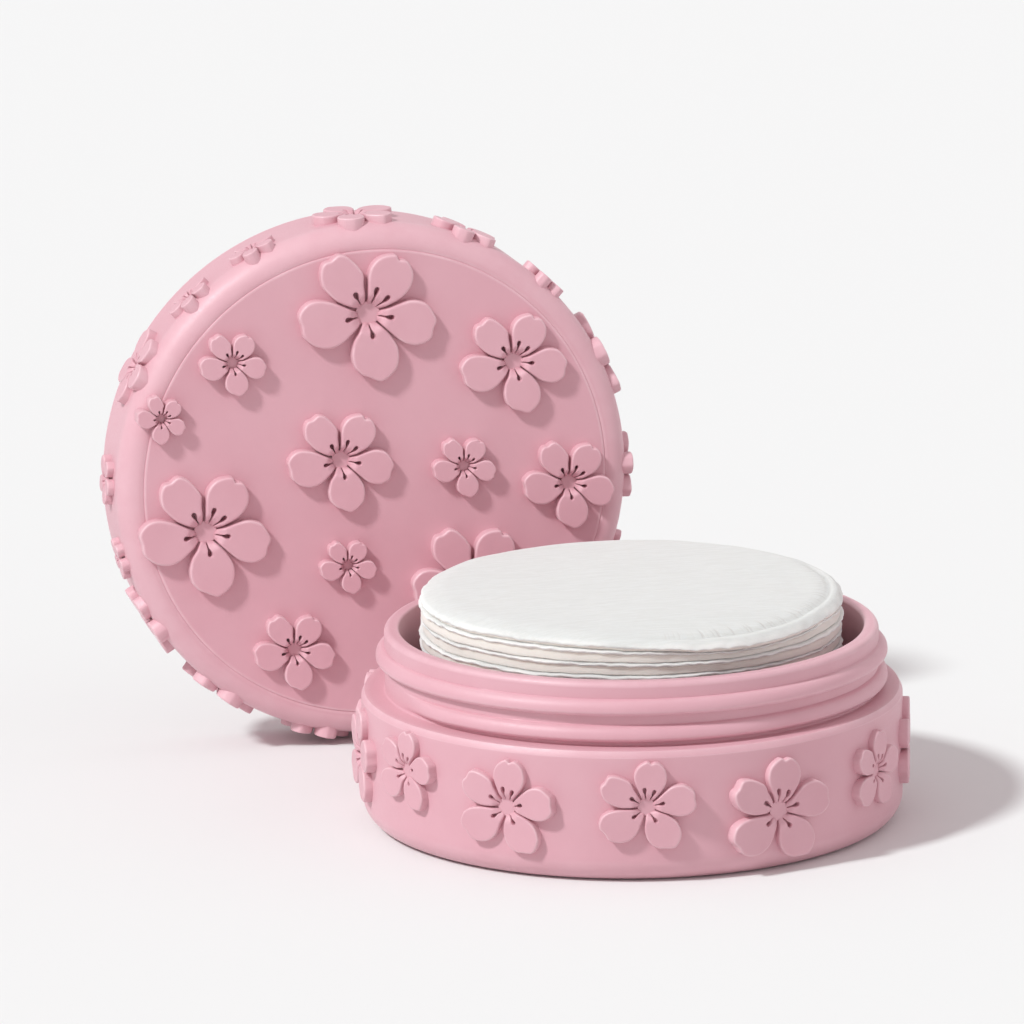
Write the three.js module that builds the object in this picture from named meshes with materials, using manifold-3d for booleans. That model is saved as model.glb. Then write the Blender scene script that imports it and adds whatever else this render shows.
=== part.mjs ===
// Round screw-top jar for cotton pads, with raised cherry blossoms.
// The jar stands open with its pads stacked in it, and the lid stands on its
// side behind the jar, its blossomed face towards -Y.
// Millimetres, +Z up. The origin is the centre of the jar's underside.

import * as THREE from 'three';
import { mergeVertices } from 'three/addons/utils/BufferGeometryUtils.js';
import Module from 'manifold-3d';

// Sizes that serve every piece
const pieceGap = 0.3; // between pieces that touch
const overrun = 2; // how far a cutting or joining body runs past its mark
const fullTurn = 2 * Math.PI;
const degree = Math.PI / 180;
const wallSegments = 48;
const meshTolerance = 1e-4;

// Cotton pads
const padRadius = 28.8;
const padThickness = 1.51;
const padCrown = 0.35; // how much higher a pad is at its middle
const padCount = 16;
const padStray = 0.35; // how far a pad lies off the jar's axis
const padStrayTurn = 137.5 * degree;
const padSegments = 28;
const padRingShares = [0, 0.6, 0.96];
const padEdgeShare = 0.25; // how far up its thickness a pad's edge is drawn in

// Jar: floor, body, shoulder and neck
const padClearance = 2.9;
const floorThickness = 2.5;
const floorFillet = 2;
const neckWall = 2.3;
const neckHeight = 8.6;
const neckBevel = 0.8;
const shoulderHeight = 18;
const shoulderChamfer = 0.6;
const footFillet = 3.2;

// Screw thread on the neck and in the lid
const threadHeight = 1.1;
const threadWidth = 2.2;
const threadPitch = 4.3;
const threadRise = 0.9; // from the shoulder to the ridge's start
const threadClearance = 0.35;
const threadRoot = 0.5; // how deep the ridge is set into its wall
const neckThreadStart = -90 * degree;
const neckThreadTurns = 1.5;
const lidThreadLag = 225 * degree; // the lid's ridge starts this far round from the neck's
const lidThreadTurns = 1.1;
const threadFadeTurns = 0.07;
const threadSunkShare = 0.25;
const ridgeRootShare = 0.62;
const ridgeSectionShares = [[0.62, -0.34], [1, -0.12], [1, 0.12], [0.62, 0.34]];

// Lid
const lidWall = 1.55;
const lidTop = 2.4;
const lidHeight = 13;
const lidCorner = 3;
const lidInnerFillet = 1.2;
const lidRimChamfer = 0.4;
const lidAside = 25.2; // the lid's axis lies this far to the left of the jar's
const lidStandoff = 5.4; // between the jar's blossoms and the lid's

// Blossoms: relief, then the shape of one petal as shares of the blossom's radius
const faceRelief = 1.8;
const sideRelief = 1.3;
const petalCount = 5;
const hubShare = 0.14;
const valleyShare = 0.22;
const petalFlankShare = 0.8;
const petalCheekShare = 1.05;
const petalNotchShare = 0.955;
const petalFlankAngle = 34.5 * degree;
const petalCheekAngle = 24 * degree;
const petalTipAngle = 4 * degree;
const smallBlossom = 5; // blossoms under this radius have fewer facets
const wideCurveSegments = 3;
const smallCurveSegments = 2;

// Blossoms round the jar, alternately high and low
const jarBlossomCount = 13;
const jarBlossomHighRadius = 6.1;
const jarBlossomLowRadius = 6.5;
const jarBlossomHighCentre = 11.6;
const jarBlossomLowCentre = 10.2;
const jarBlossomTurn = -101 * degree; // where the foremost one sits
const jarBlossomTilt = 92 * degree; // direction of its first petal

// Blossoms on the lid's face: place across, place up and radius, as shares of its radius
const faceBlossomTilt = -80 * degree;
const faceBlossomShares = [
  [-0.03, 0.65, 0.255], [0.55, 0.435, 0.2], [-0.55, 0.5, 0.125], [-0.82, 0.305, 0.092],
  [-0.14, 0.092, 0.203], [0.335, 0.038, 0.12], [0.747, -0.054, 0.176], [-0.672, -0.15, 0.246],
  [-0.122, -0.32, 0.108], [-0.343, -0.635, 0.154], [0.365, -0.416, 0.238],
];

// Blossoms round the lid's side: direction and radius
const lidBlossomSetback = 0.8; // from the lid's face to the petal nearest to it
const lidBlossomTilt = 98 * degree;
const wideLidBlossom = 5.7;
const middleLidBlossom = 4.6;
const smallLidBlossom = 3.6;
const tinyLidBlossom = 2.9;
const lidSideBlossoms = [
  [4, middleLidBlossom], [28, wideLidBlossom], [48, smallLidBlossom], [68, middleLidBlossom],
  [92, wideLidBlossom], [116, smallLidBlossom], [133, smallLidBlossom], [152, wideLidBlossom],
  [177, smallLidBlossom], [193, tinyLidBlossom], [211, wideLidBlossom], [235, wideLidBlossom],
  [260, middleLidBlossom], [281, smallLidBlossom], [302, wideLidBlossom], [325, smallLidBlossom],
  [346, tinyLidBlossom],
];

// Radii that follow from the pads outwards
const boreRadius = padRadius + padClearance;
const neckRadius = boreRadius + neckWall;
const lidBore = neckRadius + threadHeight + threadClearance;
const jarRadius = lidBore + lidWall;
const neckTop = shoulderHeight + neckHeight;

const pinkPlastic = new THREE.MeshStandardMaterial({ color: '#dca6b1', roughness: 0.6, metalness: 0 });
const whiteCotton = new THREE.MeshStandardMaterial({ color: '#f0f0ed', roughness: 1, metalness: 0 });

const wasm = await Module();
wasm.setup();

// A closed three.js geometry as a solid that can be joined and cut
function toSolid(geometry) {
  const bare = new THREE.BufferGeometry();
  bare.setAttribute('position', geometry.getAttribute('position').clone());
  if (geometry.index) bare.setIndex(geometry.index.clone());
  const merged = mergeVertices(bare, meshTolerance);
  const corners = merged.index.array;
  const triVerts = [];
  for (let i = 0; i < corners.length; i += 3) {
    const [a, b, c] = corners.slice(i, i + 3);
    if (a !== b && b !== c && c !== a) triVerts.push(a, b, c);
  }
  return new wasm.Manifold(new wasm.Mesh({
    numProp: 3,
    vertProperties: new Float32Array(merged.getAttribute('position').array),
    triVerts: new Uint32Array(triVerts),
  }));
}

// A solid as a named mesh
function toMesh(name, solid, material) {
  const { vertProperties, triVerts } = solid.getMesh();
  const geometry = new THREE.BufferGeometry();
  geometry.setAttribute('position', new THREE.BufferAttribute(new Float32Array(vertProperties), 3));
  geometry.setIndex(new THREE.BufferAttribute(new Uint32Array(triVerts), 1));
  geometry.computeVertexNormals();
  const mesh = new THREE.Mesh(geometry, material);
  mesh.name = name;
  return mesh;
}

const numbered = (stem, index) => `${stem}_${String(index + 1).padStart(2, '0')}`;

// Points on a quarter circle, its two ends included
function arcPoints(centreX, centreY, radius, from, to, steps) {
  return Array.from({ length: steps + 1 }, (_, i) => {
    const angle = from + ((to - from) * i) / steps;
    return new THREE.Vector2(centreX + radius * Math.cos(angle), centreY + radius * Math.sin(angle));
  });
}

// A profile of radius and height turned about Z
function revolve(profile, segments) {
  const geometry = new THREE.LatheGeometry(profile, segments);
  geometry.rotateX(90 * degree);
  return toSolid(geometry);
}

// A point at a turn from -Y, which is where a revolved wall has its first corner
const wallPoint = (turn, radius, height) => [radius * Math.sin(turn), -radius * Math.cos(turn), height];

// A helical ridge that fades in and out, standing out of a wall (side 1) or into a bore (side -1)
function threadRidge(wallRadius, side, startTurn, startHeight, turns) {
  const steps = Math.round(turns * wallSegments);
  const fadeSteps = threadFadeTurns * wallSegments;
  const positions = [];
  for (let i = 0; i <= steps; i += 1) {
    const turn = startTurn + (fullTurn * i) / wallSegments;
    const middle = startHeight + (threadPitch * i) / wallSegments;
    const fade = Math.min(1, i / fadeSteps, (steps - i) / fadeSteps);
    const reach = threadHeight * (fade * (1 + threadSunkShare) - threadSunkShare);
    const place = (out, up) => positions.push(...wallPoint(turn, wallRadius + side * out, middle + up));
    place(-threadRoot, -ridgeRootShare * threadWidth);
    ridgeSectionShares.forEach(([out, up]) => place(out * reach, up * threadWidth));
    place(-threadRoot, ridgeRootShare * threadWidth);
  }
  const sectionSize = ridgeSectionShares.length + 2;
  const faces = [];
  const addFace = (a, b, c) => faces.push(...(side > 0 ? [a, b, c] : [a, c, b]));
  for (let i = 0; i < steps; i += 1) {
    for (let j = 0; j < sectionSize; j += 1) {
      const next = (j + 1) % sectionSize;
      const [a, b] = [i * sectionSize + j, i * sectionSize + next];
      addFace(a, a + sectionSize, b + sectionSize);
      addFace(a, b + sectionSize, b);
    }
  }
  for (let j = 1; j < sectionSize - 1; j += 1) {
    const last = steps * sectionSize;
    addFace(0, j, j + 1);
    addFace(last, last + j + 1, last + j);
  }
  const geometry = new THREE.BufferGeometry();
  geometry.setAttribute('position', new THREE.Float32BufferAttribute(positions, 3));
  geometry.setIndex(faces);
  return toSolid(geometry);
}

// A five-petal blossom's outline, each petal with a notched tip, round an open hub
function blossomShape(radius, tilt) {
  const shape = new THREE.Shape();
  const at = (angle, share) => [radius * share * Math.cos(angle), radius * share * Math.sin(angle)];
  const halfPetal = fullTurn / petalCount / 2;
  shape.moveTo(...at(tilt - halfPetal, valleyShare));
  for (let k = 0; k < petalCount; k += 1) {
    const axis = tilt + 2 * halfPetal * k;
    shape.bezierCurveTo(
      ...at(axis - petalFlankAngle, petalFlankShare),
      ...at(axis - petalCheekAngle, petalCheekShare),
      ...at(axis - petalTipAngle, 1),
    );
    if (radius >= smallBlossom) shape.lineTo(...at(axis, petalNotchShare));
    shape.lineTo(...at(axis + petalTipAngle, 1));
    shape.bezierCurveTo(
      ...at(axis + petalCheekAngle, petalCheekShare),
      ...at(axis + petalFlankAngle, petalFlankShare),
      ...at(axis + halfPetal, valleyShare),
    );
  }
  const hub = new THREE.Path();
  hub.absarc(0, 0, hubShare * radius, 0, fullTurn, true);
  shape.holes.push(hub);
  return shape;
}

function blossomPrism(radius, tilt, depth) {
  const curveSegments = radius >= smallBlossom ? wideCurveSegments : smallCurveSegments;
  return new THREE.ExtrudeGeometry(blossomShape(radius, tilt), {
    depth, curveSegments, bevelEnabled: false,
  });
}

// A blossom wrapped round a wall: its prism, pointing outwards, cut to a thin curved skin
function wallBlossom(radius, tilt, turn, centreHeight) {
  const prism = blossomPrism(radius, tilt, sideRelief + 2 * overrun);
  const outwards = new THREE.Vector3(Math.cos(turn), Math.sin(turn), 0);
  const sideways = new THREE.Vector3(-Math.sin(turn), Math.cos(turn), 0);
  const placing = new THREE.Matrix4().makeBasis(sideways, new THREE.Vector3(0, 0, 1), outwards);
  const start = outwards.clone().multiplyScalar(jarRadius - overrun);
  placing.setPosition(start.x, start.y, centreHeight);
  prism.applyMatrix4(placing);
  const inner = jarRadius + pieceGap;
  const outer = jarRadius + sideRelief;
  const [low, high] = [centreHeight - radius - overrun, centreHeight + radius + overrun];
  const skin = revolve([
    new THREE.Vector2(inner, low), new THREE.Vector2(outer, low),
    new THREE.Vector2(outer, high), new THREE.Vector2(inner, high),
    new THREE.Vector2(inner, low),
  ], wallSegments);
  return toSolid(prism).intersect(skin);
}

// Jar: one revolved profile from the underside's centre, round the outside and down the bore
function jarBody() {
  const profile = [
    new THREE.Vector2(0, 0),
    ...arcPoints(jarRadius - footFillet, footFillet, footFillet, -90 * degree, 0, 4),
    new THREE.Vector2(jarRadius, shoulderHeight - shoulderChamfer),
    new THREE.Vector2(jarRadius - shoulderChamfer, shoulderHeight),
    new THREE.Vector2(neckRadius, shoulderHeight),
    ...arcPoints(neckRadius - neckBevel, neckTop - neckBevel, neckBevel, 0, 90 * degree, 2),
    ...arcPoints(boreRadius + neckBevel, neckTop - neckBevel, neckBevel, 90 * degree, 180 * degree, 1),
    ...arcPoints(boreRadius - floorFillet, floorThickness + floorFillet, floorFillet, 0, -90 * degree, 2),
    new THREE.Vector2(0, floorThickness),
  ];
  const ridge = threadRidge(neckRadius, 1, neckThreadStart, shoulderHeight + threadRise, neckThreadTurns);
  return revolve(profile, wallSegments).add(ridge);
}

// Lid in its own frame: its rim at height 0 and its axis along Z, the face upwards
function lidShell() {
  const ceiling = lidHeight - lidTop;
  const profile = [
    new THREE.Vector2(0, ceiling),
    ...arcPoints(lidBore - lidInnerFillet, ceiling - lidInnerFillet, lidInnerFillet, 90 * degree, 0, 2),
    new THREE.Vector2(lidBore, 0),
    new THREE.Vector2(jarRadius - lidRimChamfer, 0),
    new THREE.Vector2(jarRadius, lidRimChamfer),
    ...arcPoints(jarRadius - lidCorner, lidHeight - lidCorner, lidCorner, 0, 90 * degree, 5),
    new THREE.Vector2(0, lidHeight),
  ];
  const lag = lidThreadLag / fullTurn;
  const start = threadRise + (lag - 1 / 2) * threadPitch;
  const ridge = threadRidge(lidBore, -1, neckThreadStart + lidThreadLag, start, lidThreadTurns);
  return revolve(profile, wallSegments).add(ridge);
}

// Cotton pad: a thin disc with a low crown and rounded edge, its underside hollow to match
function cottonPad() {
  const surface = (lift) => padRingShares.map(
    (share) => new THREE.Vector2(share * padRadius, lift + padCrown * (1 - share * share)),
  );
  const profile = [
    ...surface(0),
    new THREE.Vector2(padRadius, padEdgeShare * padThickness),
    new THREE.Vector2(padRadius, (1 - padEdgeShare) * padThickness),
    ...surface(padThickness).reverse(),
  ];
  return revolve(profile, padSegments);
}

const group = new THREE.Group();
group.add(toMesh('jar_body', jarBody(), pinkPlastic));

for (let k = 0; k < jarBlossomCount; k += 1) {
  const step = k - Math.floor(jarBlossomCount / 2);
  const high = step % 2 === 0;
  const radius = high ? jarBlossomHighRadius : jarBlossomLowRadius;
  const centre = high ? jarBlossomHighCentre : jarBlossomLowCentre;
  const turn = jarBlossomTurn + (fullTurn * step) / jarBlossomCount;
  const blossom = wallBlossom(radius, jarBlossomTilt, turn, centre);
  group.add(toMesh(numbered('jar_blossom', k), blossom, pinkPlastic));
}

for (let k = 0; k < padCount; k += 1) {
  const pad = toMesh(numbered('cotton_pad', k), cottonPad(), whiteCotton);
  pad.position.x = padStray * Math.cos(padStrayTurn * k);
  pad.position.y = padStray * Math.sin(padStrayTurn * k);
  pad.position.z = floorThickness + pieceGap + k * (padThickness + pieceGap);
  group.add(pad);
}

// The lid's frame is turned so that its face looks along -Y, and it rests on its side blossoms
const lid = new THREE.Group();
lid.rotation.x = 90 * degree;
lid.position.set(
  -lidAside,
  jarRadius + sideRelief + lidStandoff + faceRelief + lidHeight,
  jarRadius + sideRelief,
);
lid.add(toMesh('lid_shell', lidShell(), pinkPlastic));

faceBlossomShares.forEach(([across, up, size], k) => {
  const prism = blossomPrism(size * jarRadius, faceBlossomTilt, faceRelief - pieceGap);
  prism.translate(across * jarRadius, up * jarRadius, lidHeight + pieceGap);
  lid.add(toMesh(numbered('lid_face_blossom', k), toSolid(prism), pinkPlastic));
});

lidSideBlossoms.forEach(([direction, radius], k) => {
  const centre = lidHeight - lidBlossomSetback - radius;
  const blossom = wallBlossom(radius, lidBlossomTilt, direction * degree, centre);
  lid.add(toMesh(numbered('lid_side_blossom', k), blossom, pinkPlastic));
});
group.add(lid);

export default group;
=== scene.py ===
# %% [markdown]
# # A screw-top jar of cotton pads, with cherry blossoms
#
# The pink jar stands open on a pale table with its stack of white pads, and its lid stands on
# edge behind it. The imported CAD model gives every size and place. Here each of its solids gets a
# finely modelled skin in the same place, so that thread, petals and pads have their soft edges.

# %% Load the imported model
import math

import bmesh
import bpy
import numpy as np
from mathutils import Matrix, Vector, noise
from mathutils.geometry import delaunay_2d_cdt


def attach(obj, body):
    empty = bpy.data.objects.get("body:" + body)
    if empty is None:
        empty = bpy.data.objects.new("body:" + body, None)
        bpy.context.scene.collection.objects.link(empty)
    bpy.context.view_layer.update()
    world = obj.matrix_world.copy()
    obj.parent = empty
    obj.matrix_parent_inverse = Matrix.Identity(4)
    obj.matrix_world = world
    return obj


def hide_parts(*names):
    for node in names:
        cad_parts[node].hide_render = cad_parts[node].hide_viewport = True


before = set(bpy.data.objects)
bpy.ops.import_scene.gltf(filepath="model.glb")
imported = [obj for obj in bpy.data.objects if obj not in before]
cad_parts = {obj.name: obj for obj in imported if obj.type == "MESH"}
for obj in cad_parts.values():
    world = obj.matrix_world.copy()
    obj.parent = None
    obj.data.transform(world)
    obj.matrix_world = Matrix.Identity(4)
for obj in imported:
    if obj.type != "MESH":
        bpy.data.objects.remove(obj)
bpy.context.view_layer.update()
scene = bpy.context.scene
MM = 0.001


def add_object(name, data):
    """An object at the origin, linked to the scene."""
    made = bpy.data.objects.new(name, data)
    scene.collection.objects.link(made)
    return made


def keep_mesh(shape, name):
    """A mesh made from a bmesh, which is then freed."""
    mesh = bpy.data.meshes.new(name)
    shape.to_mesh(mesh)
    shape.free()
    return mesh


# %% [markdown]
# ## The camera
#
# A product photographer puts a long lens far from a small object, so that its ellipses stay calm.
# The jar's rim and lip are circles of known size, so their outlines in the photograph fix the
# camera's distance, height and direction. The picture is square, 1024 pixels wide.

# %% Place the camera
PICTURE_PIXELS = 1024
FOCAL_PIXELS = 6700
camera_azimuth = math.radians(-13.61)
camera_elevation = math.radians(12.62)
camera_roll = math.radians(-0.77)
camera_distance = 910.9 * MM
aim_across = -16.05 * MM
aim_height = 42.29 * MM


def place_camera():
    """The photograph's camera: behind it is the direction from the aim towards the lens."""
    behind = Vector((
        math.sin(camera_azimuth) * math.cos(camera_elevation),
        -math.cos(camera_azimuth) * math.cos(camera_elevation),
        math.sin(camera_elevation),
    ))
    level = Vector((math.cos(camera_azimuth), math.sin(camera_azimuth), 0))
    upright = behind.cross(level)
    rolled_level = level * math.cos(camera_roll) + upright * math.sin(camera_roll)
    rolled_upright = upright * math.cos(camera_roll) - level * math.sin(camera_roll)
    lens = bpy.data.cameras.new("photo_camera")
    lens.sensor_width = 36
    lens.lens = FOCAL_PIXELS / PICTURE_PIXELS * lens.sensor_width
    lens.clip_start = 0.02
    lens.clip_end = 20
    camera = add_object("photo_camera", lens)
    pose = Matrix((rolled_level, rolled_upright, behind)).transposed().to_4x4()
    aim = level * aim_across + Vector((0, 0, aim_height))
    pose.translation = aim + behind * camera_distance
    camera.matrix_world = pose
    return camera


scene.camera = place_camera()
print("lens:", round(scene.camera.data.lens, 1), "mm")

# %% [markdown]
# ## Building materials from nodes
#
# A material is a small network of nodes. Wiring one repeats three steps: make the node, set its
# numbers, join its sockets. A helper that takes either a number or a socket for each input keeps
# every network below short enough to read.

# %% Helpers for node networks
MIX_FACTOR, MIX_FIRST, MIX_SECOND, MIX_RESULT = 0, 6, 7, 2


def add_node(tree, kind, settings=None, inputs=None):
    """One node, with its settings, and a number or another node's socket for each input."""
    made = tree.nodes.new("ShaderNode" + kind)
    for name, value in (settings or {}).items():
        setattr(made, name, value)
    for name, value in (inputs or {}).items():
        socket = made.inputs[name]
        if isinstance(value, bpy.types.NodeSocket):
            tree.links.new(value, socket)
        else:
            socket.default_value = value
    return made


def mix_colours(tree, factor, first, second):
    """The socket of a colour mixed from two."""
    inputs = {MIX_FACTOR: factor, MIX_FIRST: first, MIX_SECOND: second}
    return add_node(tree, "Mix", {"data_type": "RGBA"}, inputs).outputs[MIX_RESULT]


def calculate(tree, operation, first, second=0.0, third=0.0):
    """The socket of one sum."""
    inputs = {0: first, 1: second, 2: third}
    return add_node(tree, "Math", {"operation": operation}, inputs).outputs["Value"]


def add_noise(tree, place, scale, detail, roughness=0.5, distortion=0.0):
    """The socket of a noise at each place."""
    return add_node(tree, "TexNoise", inputs={
        "Vector": place, "Scale": scale, "Detail": detail, "Roughness": roughness,
        "Distortion": distortion}).outputs["Fac"]


def stored(tree, label):
    """The socket of a value that is stored with the mesh."""
    return add_node(tree, "Attribute", {"attribute_name": label}).outputs["Fac"]


def add_bump(tree, shader, height, strength, distance):
    """Roughens a shader's surface by a height."""
    bump = add_node(tree, "Bump", inputs={
        "Height": height, "Strength": strength, "Distance": distance})
    tree.links.new(bump.outputs["Normal"], shader.inputs["Normal"])


def spread(tree, value, low, high, new_low=0.0, new_high=1.0):
    """The socket of a value whose range from low to high is spread over a new one."""
    inputs = {"Value": value, "From Min": low, "From Max": high,
              "To Min": new_low, "To Max": new_high}
    return add_node(tree, "MapRange", {"interpolation_type": "SMOOTHSTEP"}, inputs).outputs["Result"]


def start_group(name, number_inputs, outputs):
    """An empty node group with named inputs, each with its usual value, and named outputs."""
    group = bpy.data.node_groups.new(name, "ShaderNodeTree")
    for label, value in number_inputs.items():
        socket = group.interface.new_socket(label, in_out="INPUT", socket_type="NodeSocketFloat")
        socket.default_value = value
    for label in outputs:
        group.interface.new_socket(label, in_out="OUTPUT", socket_type="NodeSocketFloat")
    arriving = group.nodes.new("NodeGroupInput")
    leaving = group.nodes.new("NodeGroupOutput")
    return group, arriving.outputs, leaving.inputs


def start_material(name, settings):
    """A material with its shader, whose constant values are set on the shader's own sockets."""
    material = bpy.data.materials.new(name)
    material.use_nodes = True
    shader = material.node_tree.nodes["Principled BSDF"]
    for label, value in settings.items():
        shader.inputs[label].default_value = value
    return material, material.node_tree, shader


print("helpers ready")

# %% [markdown]
# ## Table and light
#
# The photograph has no horizon: one pale sheet, lit by a near lamp on the upper left. Its light
# comes to the jar almost from the side, and to the lid behind it more from the front. A near lamp
# would also light the sheet unevenly. So two soft sun lamps stand for it, one for the lid and one
# for the rest, each kept off the other's pieces as a photographer does with a flag. Card all round
# fills the shadows to about half, a little warm, because it returns the pink plastic's own light.
# A larger card stands on the right. What the camera and the gloss of the pieces see of the card is
# set apart, in the sheet's own tone.

# %% Table, lamps and sky
TABLE_HALF_SIDE = 2.5
TABLE_COLOUR = (0.81, 0.81, 0.81, 1)
BACKDROP_TONE = (0.913, 0.913, 0.913, 1)
LID_LAMP_TRAVEL = Vector((0.86, 0.58, -1.0))
JAR_LAMP_TRAVEL = Vector((0.92, 0.28, -1.0))
LAMP_STRENGTH = 2.36
LAMP_ANGLE = math.radians(7)
LAMP_COLOUR = (0.963, 1.035, 1.025)
CARD_TRAVEL = Vector((-0.90, 0.20, -0.50))
CARD_STRENGTH = 0.25
CARD_ANGLE = math.radians(60)
SKY_STRENGTH = 0.57
SKY_COLOUR = (1.03, 0.95, 0.963, 1)


def lay_table():
    """The sheet that everything stands on."""
    sheet = bmesh.new()
    bmesh.ops.create_grid(sheet, x_segments=1, y_segments=1, size=TABLE_HALF_SIDE)
    table = add_object("table_sheet", keep_mesh(sheet, "table_sheet"))
    paper, _, _ = start_material("pale_sheet", {
        "Base Color": TABLE_COLOUR, "Roughness": 0.9, "Specular IOR Level": 0.1})
    table.data.materials.append(paper)
    return table


def hang_lamp(name, travel, strength, angle):
    """A soft sun lamp whose light travels one way."""
    lamp = bpy.data.lights.new(name, "SUN")
    lamp.energy = strength
    lamp.angle = angle
    lamp.color = LAMP_COLOUR
    holder = add_object(name, lamp)
    holder.rotation_mode = "QUATERNION"
    holder.rotation_quaternion = travel.to_track_quat("-Z", "Y")
    return holder


def hang_card():
    """White card all round, as a plain sky."""
    sky = bpy.data.worlds.new("white_card")
    sky.use_nodes = True
    tree = sky.node_tree
    tree.nodes.clear()
    card = add_node(tree, "Background", inputs={"Color": SKY_COLOUR, "Strength": SKY_STRENGTH})
    seen = add_node(tree, "Background", inputs={"Color": BACKDROP_TONE, "Strength": 1.0})
    ray = add_node(tree, "LightPath").outputs
    mirrored = calculate(tree, "MAXIMUM", ray["Is Glossy Ray"], ray["Is Transmission Ray"])
    looked_at = calculate(tree, "MAXIMUM", ray["Is Camera Ray"], mirrored)
    choice = add_node(tree, "MixShader", inputs={
        0: looked_at, 1: card.outputs[0], 2: seen.outputs[0]})
    end = add_node(tree, "OutputWorld")
    tree.links.new(choice.outputs[0], end.inputs["Surface"])
    scene.world = sky


def keep_off(lamp, pieces):
    """Keeps a lamp's light off some pieces, as a flag beside the lamp would."""
    flagged = lamp.light_linking.receiver_collection
    if flagged is None:
        flagged = bpy.data.collections.new("flagged_from_" + lamp.name)
        lamp.light_linking.receiver_collection = flagged
    for piece in pieces:
        flagged.objects.link(piece)
    for entry in flagged.collection_objects:
        entry.light_linking.link_state = "EXCLUDE"


table = lay_table()
hang_card()
lid_lamp = hang_lamp("lid_lamp", LID_LAMP_TRAVEL, LAMP_STRENGTH, LAMP_ANGLE)
jar_lamp = hang_lamp("jar_lamp", JAR_LAMP_TRAVEL, LAMP_STRENGTH, LAMP_ANGLE)
hang_lamp("right_card", CARD_TRAVEL, CARD_STRENGTH, CARD_ANGLE)
keep_off(lid_lamp, [table])
scene.view_settings.view_transform = "Standard"
print("lamps:", lid_lamp.name, jar_lamp.name)

# %% [markdown]
# ## The pink matt plastic
#
# Moulded plastic with a spark-eroded finish has a grain far finer than a millimetre and faint clouds
# where the pigment mixed unevenly. Its edges are painted paler and are slightly polished, partly as
# rubbed wear and partly as a painted highlight where an edge catches the lamp. The jar, the lid and
# the blossoms all have them, so the grain and the pale edge are node groups, placed in each material
# with its own numbers. Which points lie on an edge is worked out from the mesh and stored with it,
# as an attribute.

# %% Grain and pale edges, partly wear and partly painted highlight, as node groups


def make_grain_group():
    """Fine matt grain: a height for the bump, and slow clouds in the pigment."""
    group, given, wanted = start_group(
        "matt_grain",
        {"Grain Scale": 4200.0, "Ripple Scale": 420.0, "Cloud Scale": 70.0, "Ripple Share": 0.35},
        ["Height", "Cloud", "Speck"],
    )
    place = add_node(group, "TexCoord").outputs["Object"]
    grain = add_noise(group, place, given["Grain Scale"], 2.0, 0.6)
    ripple = add_noise(group, place, given["Ripple Scale"], 2.0)
    cloud = add_noise(group, place, given["Cloud Scale"], 4.0, 0.55)
    rippled = calculate(group, "MULTIPLY", ripple, given["Ripple Share"])
    group.links.new(calculate(group, "ADD", grain, rippled), wanted["Height"])
    group.links.new(spread(group, cloud, 0.3, 0.7), wanted["Cloud"])
    group.links.new(spread(group, grain, 0.35, 0.65), wanted["Speck"])
    return group


def make_wear_and_highlight_edge_group():
    """Pale edges, partly rubbed wear and partly painted highlight: the stored edge value, broken up by
    patches.
    """
    group, given, wanted = start_group(
        "wear_and_highlight_edge", {"Amount": 0.6, "Patch Scale": 260.0}, ["Rubbed"])
    place = add_node(group, "TexCoord").outputs["Object"]
    patch = add_noise(group, place, given["Patch Scale"], 3.0, 0.6)
    patches = spread(group, patch, 0.35, 0.65, 0.55, 1.0)
    wear_and_highlight = calculate(group, "MULTIPLY", stored(group, "edge"), patches)
    group.links.new(calculate(group, "MULTIPLY", wear_and_highlight, given["Amount"]), wanted["Rubbed"])
    return group


grain_group = make_grain_group()
wear_and_highlight_edge_group = make_wear_and_highlight_edge_group()
print("node groups:", grain_group.name, wear_and_highlight_edge_group.name)

# %% Three pink plastics from the same groups
PINK = (0.680, 0.372, 0.430, 1)
PINK_DEEP = (0.658, 0.345, 0.403, 1)
# The colour of the pale edges: partly rubbed wear, partly a painted highlight.
PINK_PALE = (0.850, 0.620, 0.660, 1)
DULLNESS_RANGE = (0.46, 0.58)
PALE_EDGE_POLISH = 0.12
GRAIN_STRENGTH = 0.35
GRAIN_HEIGHT = 0.03 * MM


def make_pink_plastic(name, grain_scale, cloud_scale, wear_and_highlight_amount):
    """Matt pink plastic: clouded pigment, pale edges of rubbed wear and painted highlight, a grain in
    gloss and bump.
    """
    material, tree, shader = start_material(name, {
        "Specular IOR Level": 0.65, "Sheen Weight": 0.15, "Sheen Roughness": 0.35})
    grain = add_node(tree, "Group", {"node_tree": grain_group}, {
        "Grain Scale": grain_scale, "Cloud Scale": cloud_scale})
    edge = add_node(tree, "Group", {"node_tree": wear_and_highlight_edge_group}, {"Amount": wear_and_highlight_amount})
    clouded = mix_colours(tree, grain.outputs["Cloud"], PINK_DEEP, PINK)
    # The pale edge mixed in here is partly rubbed wear and partly a painted highlight.
    wear_and_highlight = mix_colours(tree, edge.outputs["Rubbed"], clouded, PINK_PALE)
    tree.links.new(wear_and_highlight, shader.inputs["Base Color"])
    dull = spread(tree, grain.outputs["Speck"], 0.0, 1.0, *DULLNESS_RANGE)
    polished = calculate(tree, "MULTIPLY", edge.outputs["Rubbed"], PALE_EDGE_POLISH)
    tree.links.new(calculate(tree, "SUBTRACT", dull, polished), shader.inputs["Roughness"])
    add_bump(tree, shader, grain.outputs["Height"], GRAIN_STRENGTH, GRAIN_HEIGHT)
    return material


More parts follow.
